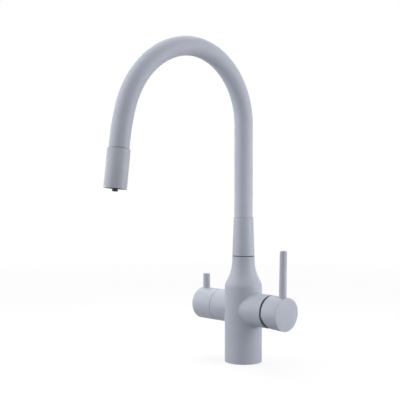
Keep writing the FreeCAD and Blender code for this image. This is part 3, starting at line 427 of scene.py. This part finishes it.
endPoint, endHeading = spoutAt(spoutLength)
atNozzle = Matrix.Translation(endPoint * mm) @ Matrix.Rotation(endHeading, 4, "X")
firstBend = spoutShape["collarTop"] + spoutShape["margin"]
bendStep = (spoutLength - spoutShape["margin"] - firstBend) / (spoutShape["bends"] - 1)
bendPlaces = [firstBend + bendStep * index for index in range(spoutShape["bends"])]
spoutBodies = ["spout_foot", "spout_length_2", "spout_length_3", "spout_length_4", "spout_length_5",
               "nozzle"]


def drawnAlong(shape, leading, step, count):
    # a ring of edges drawn out in a straight line
    for _ in range(count):
        made = bmesh.ops.extrude_edge_only(shape, edges=leading)["geom"]
        moved = [item for item in made if isinstance(item, bmesh.types.BMVert)]
        bmesh.ops.translate(shape, verts=moved, vec=step)
        leading = edgesWithin(made, set(moved))
    return leading


def turnedAlong(shape, leading, low, high, radius, count):
    # a ring of edges turned round an arc's centre
    point, heading = spoutAt(low + 1e-9)
    centre = (point + inward(heading) * radius) * mm
    made = bmesh.ops.spin(shape, geom=leading, cent=centre, axis=xAxis, angle=(high - low) / radius,
                          steps=count)["geom_last"]
    return [item for item in made if isinstance(item, bmesh.types.BMEdge)]


def spoutTube(start, end, look):
    # two rings of edges follow the straights and the arcs, and the ends are joined
    shape = bmesh.new()
    point, heading = spoutAt(start)
    lay = (Matrix.Translation(point * mm) @ Matrix.Rotation(heading, 4, "X")
           @ Matrix.Translation((look["offset"] * mm, 0, 0)))
    walls = []
    for radius in (look["radius"], look["inside"]):
        ring = bmesh.ops.create_circle(shape, cap_ends=False, segments=look["around"], radius=radius * mm,
                                       matrix=lay)
        walls.append(edgesWithin(shape.edges, set(ring["verts"])))
    firstEnds = [edge for wall in walls for edge in wall]
    lastEnds = []
    for leading in walls:
        for spanStart, length, _, _, radius in spans:
            low = max(start, spanStart)
            high = min(end, spanStart + length)
            if high - low < nearly:
                continue
            count = max(1, round((high - low) / spoutShape["spacing"]))
            if radius is None:
                step = forward(spoutAt((low + high) / 2)[1]) * (high - low) / count * mm
                leading = drawnAlong(shape, leading, step, count)
            else:
                leading = turnedAlong(shape, leading, low, high, radius, count)
        lastEnds += leading
    bmesh.ops.bridge_loops(shape, edges=firstEnds)
    bmesh.ops.bridge_loops(shape, edges=lastEnds)
    bmesh.ops.recalc_face_normals(shape, faces=shape.faces)
    return shape


def pinch(shape, radius, mouth, depth, height):
    # a shallow groove round the tube where it enters a socket, whose mouth is at XY with +Z going in
    along = mouth.to_3x3() @ zAxis
    for level in (-height, 0.0, height):
        bmesh.ops.bisect_plane(shape, geom=shape.verts[:] + shape.edges[:] + shape.faces[:],
                               plane_co=mouth @ Vector((0, 0, level * mm)), plane_no=along)
    for vert in shape.verts:
        local = mouth.inverted() @ vert.co
        if abs(local.z) < nearly and abs(local.xy.length - radius * mm) < 10 * nearly:
            local.xy = local.xy * (1 - depth / radius)
            vert.co = mouth @ local


def bentAlong(name, slot, look, replaced, pinches=None):
    # one length for each bend, cut half way between bends
    middles = [(low + high) / 2 for low, high in zip(bendPlaces, bendPlaces[1:])]
    cuts = [look["start"]] + middles + [spoutLength + look["end"]]
    for index, bend in enumerate(bendPlaces):
        shape = spoutTube(cuts[index], cuts[index + 1], look)
        if pinches and index in pinches:
            pinch(shape, look["radius"], *pinches[index])
        piece = newPiece("%s%d" % (name, index + 1), shape, slot, replaced=(replaced,), smoothAngle=60.0)
        before = spoutAt(bend - spoutShape["reach"])[0] * mm
        after = spoutAt(bend + spoutShape["reach"])[0] * mm
        spoutBodies[index + 1]
        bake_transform(piece)


# Sleeve and hoses: each starts at a height above the foot and ends past the nozzle's mouth.
# A pinch is how deep and how high the groove is where the sleeve enters its socket.
sleeve = {"start": 167.7, "end": 5.9, "radius": 12.35, "inside": 9.8, "offset": 0.0, "around": 96,
          "collarPinch": (0.5, 0.8), "nozzlePinch": (1.4, 1.0)}
hose = {"start": 150.7, "end": 13.9, "radius": 4.4, "inside": 3.1, "offset": 2.6, "around": 32}
tube = {"start": 150.7, "end": 13.9, "radius": 2.4, "inside": 1.6, "offset": -4.7, "around": 24}
collarMouth = (Matrix.Translation((0, 0, spoutShape["collarTop"] * mm))
               @ Matrix.Rotation(math.pi, 4, "X"))
lastLength = spoutShape["bends"] - 1
bentAlong("sleeveLength", "silicone", sleeve, "silicone_sleeve",
          {0: (collarMouth, *sleeve["collarPinch"]), lastLength: (atNozzle, *sleeve["nozzlePinch"])})
bentAlong("hoseLength", "hose_rubber", hose, "mixed_water_hose")
bentAlong("tubeLength", "filter_hose", tube, "filtered_water_tube")
print("spout sleeve and hoses made")


# Collar: a slow taper with eased ends, bored for the sleeve and for the stem's thread
collar = {"start": 142.8, "top": 193.85, "foot": 15.0, "head": 13.15, "sleeveBore": 12.45, "seat": 167.6,
          "threadBore": 12.0, "edge": 0.4, "mouthEdge": 0.22, "margin": 0.1}


def collarMouthRing(edge):
    past = outside(collar["sleeveBore"] + collar["margin"])
    return atStation(collar["top"])(edge) and not past(edge)


shape = spun([(collar["threadBore"], collar["start"]), (collar["foot"], collar["start"]),
              (collar["head"], collar["top"]), (collar["sleeveBore"], collar["top"]),
              (collar["sleeveBore"], collar["seat"]), (collar["threadBore"], collar["seat"])])
easeRims(shape, collar["edge"], 4, chosen=outside(collar["head"] - collar["margin"]))
easeRims(shape, collar["mouthEdge"], 3, chosen=collarMouthRing)
newPiece("collarShell", shape, "powder_coat", "spout_foot", ["spout_collar"])

# Washer that shows as the dark line under the collar
washer = {"start": 141.8, "top": 142.7, "radius": 14.3, "bore": 11.05, "edge": 0.2}
shape = spun([(washer["bore"], washer["start"]), (washer["radius"], washer["start"]),
              (washer["radius"], washer["top"]), (washer["bore"], washer["top"])])
easeRims(shape, washer["edge"])
newPiece("washerRing", shape, slotOf["swivel_washer"], bodyOf["swivel_washer"], ["swivel_washer"])
print("collar made")


# Nozzle: shell, aerator with two rings of jets, and the separate outlet in its middle.
# Stations run from the nozzle's mouth, where the sleeve goes in.
nozzle = {"radius": 13.9, "length": 47.0, "bore": 12.0, "socket": 6.0, "socketRadius": 12.45,
          "edge": 0.15, "margin": 0.1}
shape = spun([(nozzle["socketRadius"], 0), (nozzle["radius"], 0), (nozzle["radius"], nozzle["length"]),
              (nozzle["bore"], nozzle["length"]), (nozzle["bore"], nozzle["socket"]),
              (nozzle["socketRadius"], nozzle["socket"])])
easeRims(shape, nozzle["edge"], 3, chosen=outside(nozzle["radius"] - nozzle["margin"]))
easeRims(shape, nozzle["edge"], 2, chosen=atStation(nozzle["length"]))
place(shape, atNozzle)
newPiece("nozzleShell", shape, "powder_coat", "nozzle", ["nozzle_housing"])

# Each ring of jets has its radius, how many jets, and a jet's radius
aerator = {"start": 33.0, "face": 46.3, "radius": 11.9, "bore": 3.65, "lip": 1.3, "dish": 0.5,
           "edge": 0.15, "rings": ((9.0, 20, 0.62), (6.2, 14, 0.62)), "jetDepth": 5.0}
dishRadius = aerator["radius"] - aerator["lip"]
dishFloor = aerator["face"] - aerator["dish"]
shape = spun([(aerator["bore"], aerator["start"]), (aerator["radius"], aerator["start"]),
              (aerator["radius"], aerator["face"]), (dishRadius, aerator["face"]),
              (dishRadius, dishFloor), (aerator["bore"], dishFloor)], 96)
easeRims(shape, aerator["edge"], 2)
jets = bmesh.new()
for circle, count, radius in aerator["rings"]:
    for index in range(count):
        turn = 2 * math.pi * index / count
        spot = Vector((circle * math.cos(turn), circle * math.sin(turn), aerator["face"])) * mm
        bmesh.ops.create_cone(jets, cap_ends=True, segments=16, radius1=radius * mm, radius2=radius * mm,
                              depth=2 * aerator["jetDepth"] * mm, matrix=Matrix.Translation(spot))
place(shape, atNozzle)
place(jets, atNozzle)
piece = newPiece("aeratorFace", shape, "grey_plastic", "nozzle", ["aerator_insert"])
cutBy(piece, jets)

outlet = {"start": 18.05, "end": 50.3, "radius": 3.55, "bore": 2.3, "edge": 0.45}
shape = spun([(outlet["bore"], outlet["start"]), (outlet["radius"], outlet["start"]),
              (outlet["radius"], outlet["end"]), (outlet["bore"], outlet["end"])], 64)
easeRims(shape, outlet["edge"], 4, chosen=atStation(outlet["end"]))
place(shape, atNozzle)
newPiece("centreOutlet", shape, "black_plastic", "nozzle", ["filtered_outlet"])
print("nozzle made")


# Both handles lie on the axis of the branches, with x measured from the tap's axis.
# Seats are the holes that each handle has for its lever above and its grub screw below.
branchHeight = 71.9
seats = {"lever": 18.5, "stud": 3.0, "studLength": 9.3, "play": 0.1, "clear": 9.0,
         "grub": 3.05, "grubLength": 8.0, "mouth": 3.6, "below": 30.0}
rod = {"foot": 4.95, "stud": 2.95, "studLength": 9.0, "gap": 0.05, "footEdge": 0.2}


def layAlongX(shape, side):
    # a shape turned about Z is laid along +X or -X on the axis of the branches
    place(shape, Matrix.Translation((0, 0, branchHeight * mm))
          @ Matrix.Rotation(math.radians(90 * side), 4, "Y"))


def turnAbout(point, degrees):
    # a turn about the line along Y through the point, positive where +X goes down
    return (Matrix.Translation(point) @ Matrix.Rotation(math.radians(degrees), 4, "Y")
            @ Matrix.Translation(-point))


def boxCutter(low, high, turn):
    size = Vector(high) - Vector(low)
    middle = (Vector(low) + Vector(high)) / 2
    cutter = bmesh.new()
    bmesh.ops.create_cube(cutter, size=1.0, matrix=turn @ Matrix.Translation(middle * mm)
                          @ Matrix.Diagonal((*(size * mm), 1.0)))
    return cutter


def cutSeats(piece, look, turn, lean=unturned):
    # seat and stud hole of the lever above, threaded hole and mouth of the grub screw below
    above = branchHeight + seats["lever"]
    stud = above - seats["studLength"]
    below = branchHeight - look["hub"]
    mouth = below - seats["grubLength"] - seats["mouth"]
    footHole = rod["foot"] + seats["play"]
    upper = [(0, stud), (seats["stud"], stud), (seats["stud"], above), (footHole, above),
             (footHole, above + seats["clear"]), (0, above + seats["clear"])]
    lower = [(0, below - seats["below"]), (seats["mouth"], below - seats["below"]), (seats["mouth"], mouth),
             (seats["grub"], mouth), (seats["grub"], below), (0, below)]
    for profile, leaning in ((upper, lean), (lower, unturned)):
        cutter = spun(profile, 64, closed=False)
        place(cutter, turn @ leaning @ Matrix.Translation((look["leverX"] * mm, 0, 0)))
        cutBy(piece, cutter)


def leverRod(name, look, body, node, turn):
    low = branchHeight + seats["lever"] + rod["gap"]
    end = low - rod["studLength"]
    shape = spun([(0, end), (rod["stud"], end), (rod["stud"], low), (rod["foot"], low),
                  (look["leverTip"], look["leverTop"]), (0, look["leverTop"])], 96, closed=False)
    easeRims(shape, look["leverEdge"], 8, chosen=atStation(look["leverTop"]))
    easeRims(shape, rod["footEdge"], 2, chosen=atStation(low))
    place(shape, turn @ Matrix.Translation((look["leverX"] * mm, 0, 0)))
    newPiece(name, shape, "powder_coat", body, [node])


# Mixing handle: a cap with a ball-shaped inside and a relieved rim, and its long lever.
# It tilts about a pin in the branch; at rest the cap droops and the lever leans back against it.
tilt = {"pivot": 50.0, "rest": 2.6, "lean": 1.6, "travel": 20.0}
cap = {"rim": 51.2, "rimRadius": 21.9, "faceRadius": 21.95, "face": 76.85, "ball": 21.0, "ballSteps": 12,
       "web": 65.3, "edge": 0.5, "rimEdge": 0.3, "relief": 49.7, "reliefReach": 40.0,
       "socket": 4.05, "socketEnd": 73.5, "past": 1.0, "hub": 4.05,
       "leverX": 68.8, "leverTip": 4.65, "leverTop": 154.0, "leverEdge": 2.2}
pivotPoint = Vector((tilt["pivot"] * mm, 0, branchHeight * mm))
seatPoint = Vector((cap["leverX"], 0, branchHeight + seats["lever"])) * mm
restTurn = turnAbout(pivotPoint, tilt["rest"])
leverLean = turnAbout(seatPoint, -tilt["lean"])

lowTurn = math.asin((cap["rim"] - tilt["pivot"]) / cap["ball"])
highTurn = math.asin((cap["web"] - tilt["pivot"]) / cap["ball"])
inside = []
for index in range(cap["ballSteps"] + 1):
    turn = lowTurn + (highTurn - lowTurn) * index / cap["ballSteps"]
    inside.append((cap["ball"] * math.cos(turn), tilt["pivot"] + cap["ball"] * math.sin(turn)))
shape = spun([(0, cap["face"]), (cap["faceRadius"], cap["face"]), (cap["rimRadius"], cap["rim"])]
             + inside + [(0, cap["web"])], 192, closed=False)
easeRims(shape, cap["edge"], 5, chosen=atStation(cap["face"]))
easeRims(shape, cap["rimEdge"], 3, chosen=atStation(cap["rim"]))
layAlongX(shape, 1)
place(shape, restTurn)
piece = newPiece("capShell", shape, "powder_coat", "mixer_handle", ["handle_cap"])
# square socket of the stem
cutBy(piece, boxCutter((cap["web"] - cap["past"], -cap["socket"], branchHeight - cap["socket"]),
                       (cap["socketEnd"], cap["socket"], branchHeight + cap["socket"]), restTurn))
# rim cut back along the branch's end as the cap meets it at full tilt
wide = cap["reliefReach"]
cutBy(piece, boxCutter((cap["relief"] - wide, -wide, branchHeight - wide),
                       (cap["relief"], wide, branchHeight + wide), turnAbout(pivotPoint, -tilt["travel"])))
cutSeats(piece, cap, restTurn, leverLean)
leverRod("handleRod", cap, "mixer_handle", "handle_lever", restTurn @ leverLean)

# Filtered-water knob and its short lever
knob = {"start": 43.7, "end": 77.8, "radius": 21.5, "cavity": 18.5, "web": 60.0, "socket": 4.05,
        "socketEnd": 74.3, "edge": 1.0, "rimEdge": 0.3, "margin": 0.1, "hub": 4.0,
        "leverX": -70.8, "leverTip": 4.8, "leverTop": 113.3, "leverEdge": 1.2}
shape = spun([(0, knob["end"]), (knob["radius"], knob["end"]), (knob["radius"], knob["start"]),
              (knob["cavity"], knob["start"]), (knob["cavity"], knob["web"]), (knob["socket"], knob["web"]),
              (knob["socket"], knob["socketEnd"]), (0, knob["socketEnd"])], 192, closed=False)
easeRims(shape, knob["edge"], 5, chosen=atStation(knob["end"]))
easeRims(shape, knob["rimEdge"], 3, chosen=outside(knob["radius"] - knob["margin"]))
layAlongX(shape, -1)
piece = newPiece("knobShell", shape, "powder_coat", "filter_handle", ["filter_knob"])
cutSeats(piece, knob, unturned)
leverRod("knobRod", knob, "filter_handle", "filter_lever", unturned)
print("handles made")


# CAD nodes that stay get their finish
for name, node in frame["nodes"].items():
    slot = slotOf[name]
    if node.hide_render:
        continue
    node.data.materials.clear()
    node.data.materials.append(materials[slot])
print("finishes given to the kept nodes")


# Camera: angles in degrees, lens and sensor in millimetres
cameraPlace = {"location": (0.817845, -0.866602, 0.24947), "pitch": 88.442, "yaw": 46.149,
               "lens": 79.88, "sensor": 36.0, "nearest": 0.01, "furthest": 100.0}
cameraData = bpy.data.cameras.new("camera")
cameraData.lens = cameraPlace["lens"]
cameraData.sensor_width = cameraPlace["sensor"]
cameraData.clip_start = cameraPlace["nearest"]
cameraData.clip_end = cameraPlace["furthest"]
camera = bpy.data.objects.new("camera", cameraData)
camera.location = cameraPlace["location"]
camera.rotation_euler = (math.radians(cameraPlace["pitch"]), 0, math.radians(cameraPlace["yaw"]))
bpy.context.scene.collection.objects.link(camera)
bpy.context.scene.camera = camera


# Floor: tone and cloud are what is seen, bounce is the tone that it lights the tap with.
# seen is the share of plain white in it near the tap, which rises to all white far away.
floorLook = {"size": 30.0, "below": 0.0002, "tone": (247, 247, 248), "cloud": (250, 250, 250),
             "cloudScale": 3.0, "bounce": (144, 144, 146), "rough": 0.9, "specular": 0.1,
             "seen": 0.82, "near": 0.3, "far": 1.5}
white = (1.0, 1.0, 1.0, 1.0)


def paleFloor(look):
    finish = Finish("paleFloor")
    path = finish.seenDirectly()
    tone = finish.mottled(finish.noise(look["cloudScale"], 2.0, 0.5), look["tone"], look["cloud"])
    finish.set(colour=finish.blendColours(path, colour(*look["bounce"]), tone),
               rough=look["rough"], specular=look["specular"])
    plain = finish.add("Emission", sockets={"Color": white, "Strength": 1.0})
    away = finish.add("VectorMath", {"operation": "LENGTH"}, {0: finish.place}, output="Value")
    share = path * finish.between(away, look["near"], look["far"], look["seen"], 1.0)
    lit = Link(finish, finish.shader.outputs[0])
    mixed = finish.add("MixShader", sockets={0: share, 1: lit, 2: plain})
    finish.put(finish.nodes["Material Output"], "Surface", mixed)
    return finish.material


floorShape = bmesh.new()
bmesh.ops.create_grid(floorShape, x_segments=2, y_segments=2, size=floorLook["size"],
                      matrix=Matrix.Translation((0, 0, -floorLook["below"])))
floorMesh = bpy.data.meshes.new("floor")
floorShape.to_mesh(floorMesh)
floorShape.free()
floor = bpy.data.objects.new("floor", floorMesh)
floorMesh.materials.append(paleFloor(floorLook))
bpy.context.scene.collection.objects.link(floor)

# World: white where it is seen, and this strong as a light
worldLook = {"strength": 0.425, "tone": white}
world = bpy.data.worlds.new("studio")
bpy.context.scene.world = world
sky = NodeTree(world)
background = sky.nodes["Background"]
sky.put(background, "Color", worldLook["tone"])
sky.put(background, "Strength", sky.between(sky.seenDirectly(), 0.0, 1.0, worldLook["strength"], 1.0))

# Each lamp: where it stands, its size in metres and its power in watts. All look at one point.
lampAim = Vector((0, 0, 0.2))
lamps = {
    "leftPanel": {"from": (-0.864, -0.971, 0.35), "size": (0.6, 1.0), "power": 2.25},
    "leftFrontPanel": {"from": (-0.373, -1.245, 0.35), "size": (0.5, 1.0), "power": 4.45},
    "rightPanel": {"from": (1.019, 0.806, 0.35), "size": (0.6, 1.0), "power": 9.77},
    "lowLeftPanel": {"from": (-0.45, -0.3, 0.22), "size": (0.25, 0.25), "power": 0.405},
    "lowRightPanel": {"from": (0.45, 0.15, 0.1), "size": (0.25, 0.25), "power": 0.465},
    "topLeftPanel": {"from": (-0.727, -0.686, 1.3), "size": (0.8, 0.8), "power": 4.73},
    "topPanel": {"from": (-0.073, -0.069, 1.6), "size": (0.8, 0.8), "power": 3.2},
    "topBackPanel": {"from": (-0.48, 0.509, 1.4), "size": (0.8, 0.8), "power": 3.29},
    "nearBackPanel": {"from": (-0.3, 0.1, 0.5), "size": (0.25, 0.25), "power": 0.57},
}
for name, lamp in lamps.items():
    data = bpy.data.lights.new(name, "AREA")
    data.shape = "RECTANGLE"
    data.size, data.size_y = lamp["size"]
    data.energy = lamp["power"]
    light = bpy.data.objects.new(name, data)
    light.location = lamp["from"]
    light.rotation_euler = (lampAim - Vector(lamp["from"])).to_track_quat("-Z", "Y").to_euler()
    bpy.context.scene.collection.objects.link(light)

bpy.context.scene.view_settings.view_transform = "Standard"
print("camera, floor and lamps set")
